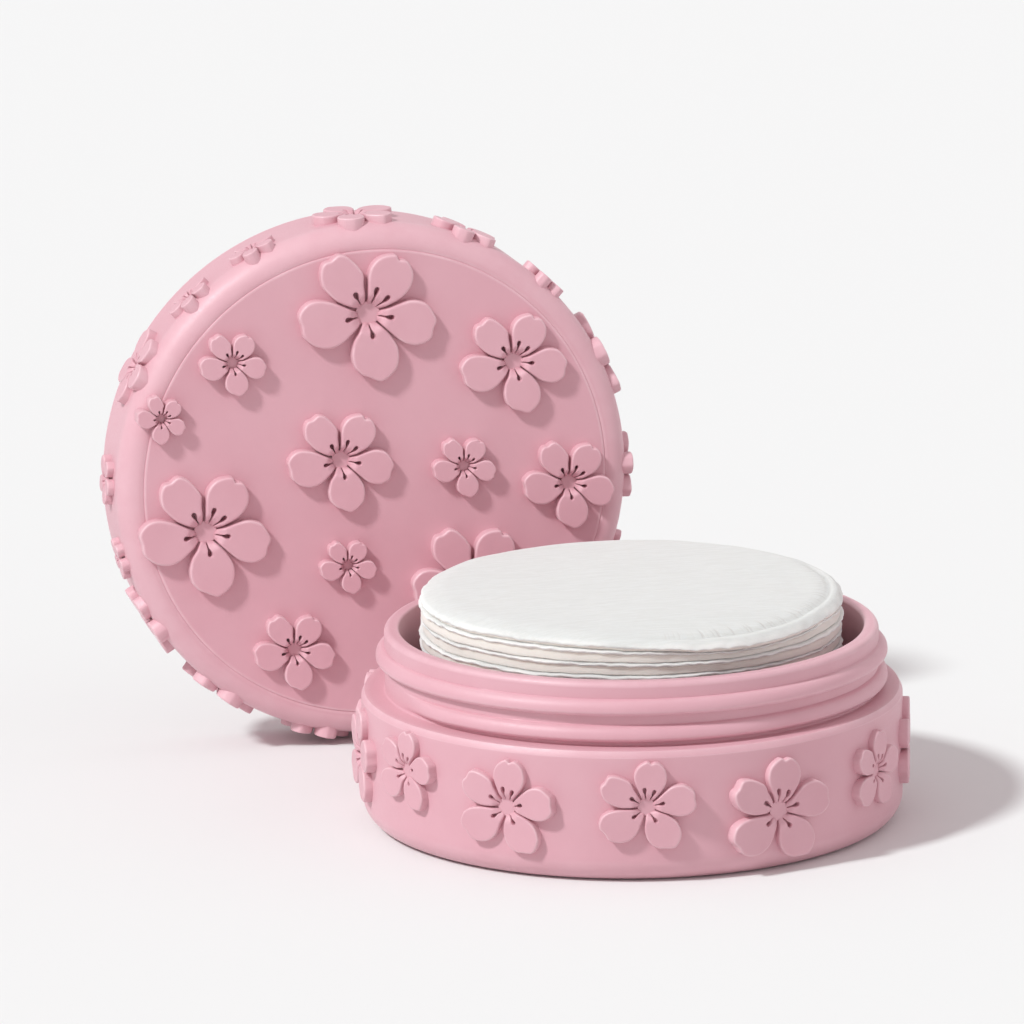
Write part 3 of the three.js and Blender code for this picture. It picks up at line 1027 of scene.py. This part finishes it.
def draw_creases(tree, place):
    """The socket of a value that is 1 in the creases of the crimped band."""
    parts = add_node(tree, "SeparateXYZ", inputs={"Vector": place}).outputs
    turn = calculate(tree, "ARCTAN2", parts["Y"], parts["X"])
    along = calculate(tree, "MULTIPLY", turn, CREASES_PER_RADIAN)
    spot = add_node(tree, "CombineXYZ", inputs={"X": along}).outputs["Vector"]
    sharp = spread(tree, add_noise(tree, spot, 0.5, 1.5), 0.50, 0.64)
    return calculate(tree, "MULTIPLY", sharp, stored(tree, "crimped"))


def make_cotton():
    """White pressed cotton with fine lengthwise fibres, a painted highlight on its lip, painted warm
    shade on its cut side and painted shade in its creases.
    """
    material, tree, shader = start_material("pressed_cotton", {
        "Specular IOR Level": 0.1, "Sheen Weight": 0.12, "Sheen Roughness": 0.6,
        "Subsurface Weight": 0.6, "Subsurface Radius": (1.0, 0.94, 0.89),
        "Subsurface Scale": 1.6 * MM})
    place = add_node(tree, "TexCoord").outputs["Object"]
    fibres = lay_fibres(tree, place)
    creases = draw_creases(tree, place)
    tuft = add_noise(tree, place, 320.0, 3.0, 0.6)
    face = mix_colours(tree, spread(tree, fibres, 0.42, 0.66), COTTON_SHADE, COTTON)
    # Painted highlight on the lip, then painted warm shade on the cut side, then painted shade in the
    # creases.
    lip_highlighted = mix_colours(tree, stored(tree, "lip"), face, COTTON_LIP_HIGHLIGHT)
    cut_side_shaded = mix_colours(tree, stored(tree, "cut_side_shade"), lip_highlighted, COTTON_CUT_SIDE_SHADE)
    crease_shaded = mix_colours(tree, creases, cut_side_shaded, COTTON_CREASE_SHADE)
    tree.links.new(crease_shaded, shader.inputs["Base Color"])
    tree.links.new(spread(tree, tuft, 0.3, 0.7, 0.82, 0.98), shader.inputs["Roughness"])
    tufted = calculate(tree, "MULTIPLY_ADD", tuft, 0.9, fibres)
    sunk = calculate(tree, "MULTIPLY_ADD", creases, -1.2, tufted)
    add_bump(tree, shader, sunk, 0.45, 0.13 * MM)
    return material


cotton = make_cotton()
print("cotton:", cotton.name)

# %% [markdown]
# ## The pads
#
# Each pad is a thin round cushion of pressed fibre, not a filled cover, so it is turned from its
# section and every point is then moved by smooth noise. A pressed pad has a thin lip along its top
# edge that wanders in and out over the recessed, cut side. The pad on top has nothing pressing on
# it, so its face rolls over towards the lip. Part of each face is crimped along a line just inside
# the edge. The pads lie on each other: the height of each bed between two pads is one function,
# which the lower pad's face and the upper pad's underside both follow, so the two lie close and
# never cross. The topmost beds slump in front on the right, where fingers have pressed, and are
# lofty at the back.

# %% The pad's section and its bed
pad_radius = 28.6
pad_pitch = 1.81
pad_thickness = 1.77
pad_rest = 0.3
pad_crown = 0.35
pad_count = 16
pad_stray = 0.12
pad_stray_turn = math.radians(137.5)
pad_crimp_radius = 27.0
slump_side = math.radians(-72)
slump_half_width = math.radians(34)
slump_depths = {13: 0.2, 14: 0.5, 15: 1.05, 16: 0.85}
loft_at_back = {12: 0.08, 13: 0.16, 14: 0.26, 15: 0.38, 16: 0.55}
heavy_side_of_top_pad = math.radians(-40)
groove_depth, groove_width = 0.34, 0.36
roll_height, roll_width = 0.30, 0.6
PAD_STEPS = 400
PAD_CREASE = 80

pressed_section = [
    (28.1, 0.0), (28.45, 0.005), (28.55, 0.03), (28.58, 0.12), (28.57, 0.30), (28.55, 0.50),
    (28.53, 0.70), (28.50, 0.88), (28.46, 1.04), (28.46, 1.18), (28.56, 1.30), (28.72, 1.40),
    (28.84, 1.50), (28.86, 1.60), (28.80, 1.69), (28.66, 1.745), (28.45, 1.77), (28.1, 1.77),
]
top_section = [
    (28.1, 0.005), (28.38, 0.03), (28.45, 0.10), (28.46, 0.22), (28.52, 0.32), (28.62, 0.41),
    (28.72, 0.50), (28.76, 0.62), (28.73, 0.76), (28.62, 0.90), (28.42, 1.05), (28.14, 1.19),
    (27.8, 1.32), (27.4, 1.44), (27.0, 1.54), (26.6, 1.62), (26.2, 1.69), (25.8, 1.74), (25.4, 1.765),
]


def pad_outline(section):
    """Half a pad's outline, in mm, from the middle of its underside round to the middle of its top."""
    under = [(radius, 0.0) for radius in (0, 4, 8, 12, 16, 18.5, 20, 21.5, 23, 24.5, 26, 27.1)]
    last = section[-1][0]
    across = [*np.arange(last - 0.35, 22.9, -0.35), *np.arange(22.2, 0.4, -0.9), 0]
    return under + section + [(radius, pad_thickness) for radius in across]


def ramp(values, low, high):
    """A smooth step from 0 at low to 1 at high, for many values at once."""
    share = np.clip((values - low) / (high - low), 0, 1)
    return share * share * (3 - 2 * share)


def ring_noise(turn, roundness, seed):
    """Smooth noise round a circle at each turn, the same again after a full turn."""
    table = np.linspace(-math.pi, math.pi, 1441)
    heights = [noise.noise(Vector((roundness * math.cos(t), roundness * math.sin(t), seed)))
               for t in table]
    return np.interp(turn, table, heights)


def wander(turn, *waves):
    """A sum of ring noises, each with its height in mm, its roundness and its seed."""
    return sum(height * ring_noise(turn, roundness, seed) for height, roundness, seed in waves)


def bed(x, y, k):
    """Height in mm, above its even place, of the bed under pad number k."""
    radius = np.hypot(x, y)
    turn = np.arctan2(y, x)
    swell = wander(turn, (0.16, 1.4, 9.0 * k), (0.24, 3.6, 9.0 * k + 4))
    swell += wander(turn, (0.10, 9.0, 9.0 * k + 7)) * ramp(radius, 26, 28.6)
    hummock = 0.05 * np.sin(0.31 * x + 2.1 * k) * np.cos(0.27 * y - 1.3 * k)
    from_slump = np.angle(np.exp(1j * (turn - slump_side))) / slump_half_width
    slump = slump_depths.get(k, 0.0) * np.exp(-from_slump ** 2) * ramp(radius, 19, 28.5)
    crown = pad_crown * (1 - (radius / pad_radius) ** 2)
    loft = loft_at_back.get(k, 0.0) * ramp(y, -6, 27)
    return crown + loft + ramp(radius, 15, 29) * swell + hummock - slump


print("pad section:", len(pressed_section), "points, top pad:", len(top_section))

# %% Make the pads


def shape_pad(x, y, height, k, on_top):
    """Where each point of a turned pad goes, in mm, and the values that the cotton's colours read."""
    radius = np.hypot(x, y)
    turn = np.arctan2(y, x)
    seed = 11.0 * k + 1.5
    under_lip = 0.3 if on_top else 1.1
    lip = ramp(radius, 28.2, 28.6) * ramp(height, under_lip, under_lip + 0.25)
    heavy_side = heavy_side_of_top_pad + 1.35 * (pad_count - 1 - k)
    heavy = ramp(np.cos(turn - heavy_side) + wander(turn, (0.12, 3.0, seed)), 0.5, 0.75)
    out = ramp(radius, 16, 29) * wander(turn, (0.10, 1.3, seed), (0.10, 4.0, seed + 3.1))
    out += lip * wander(turn, (0.16, 11.0, seed + 5.7), (0.10, 50.0, seed + 8.2))
    pressed = groove_depth * np.exp(-((radius - pad_crimp_radius) / groove_width) ** 2)
    if on_top:
        out += 0.26 * heavy * ramp(radius, 27.9, 28.3) * (1 - ramp(height, 0.35, 0.8))
        pressed -= roll_height * np.exp(-((radius - pad_crimp_radius - 1.0) / roll_width) ** 2)
    x = x * (1 + out / np.maximum(radius, 1)) + pad_stray * math.cos(pad_stray_turn * k)
    y = y * (1 + out / np.maximum(radius, 1)) + pad_stray * math.sin(pad_stray_turn * k)
    share = np.clip(height / pad_thickness, 0, 1)
    lifted = (1 - share) * bed(x, y, k) + share * bed(x, y, k + 1)
    frill = lip * 0.20 * (np.minimum(ring_noise(turn, 24.0, seed + 2.2), 0.5) - 0.4)
    above = ramp(height, 0.9, 1.7)
    base = floor_thickness + pad_rest + k * pad_pitch
    z = base + height + lifted + frill - above * heavy * pressed
    # The lip's value paints it whiter, a painted highlight that varies round the pad; the next value
    # paints the cut side below it as warm shade; the last marks the crimped band, whose creases are
    # sunk and painted as shade.
    lip_highlight_strength = np.clip(0.6 + wander(turn, (1.3, 6.0, seed + 9.0)), 0.15, 1)
    values = {
        "lip": lip * lip_highlight_strength * (0.55 if on_top else 0.9),
        "cut_side_shade": ramp(radius, 27.9, 28.2) * (1 - ramp(height, under_lip, under_lip + 0.2)),
        "crimped": above * heavy * np.exp(-((radius - pad_crimp_radius + 0.8) / 1.0) ** 2),
    }
    return np.column_stack((x, y, z)), values


def make_pad(k):
    """Pad number k from the bottom, in its place in the stack."""
    on_top = k == pad_count - 1
    pad = turn_outline(pad_outline(top_section if on_top else pressed_section), PAD_STEPS)
    x, y, height = np.array([vert.co for vert in pad.verts]).T / MM
    places, values = shape_pad(x, y, height, k, on_top)
    layers = {label: pad.verts.layers.float.new(label) for label in values}
    for number, vert in enumerate(pad.verts):
        vert.co = Vector(places[number]) * MM
        for label, layer in layers.items():
            vert[layer] = values[label][number]
    name = f"cotton_pad_{k + 1:02d}"
    piece = finish_piece(pad, name + "_cotton", cotton, f"pad_{k + 1:02d}", [name],
                         PAD_CREASE)
    return piece


pads = [make_pad(k) for k in range(pad_count)]
print("pads:", len(pads), "faces in each:", len(pads[0].data.polygons))
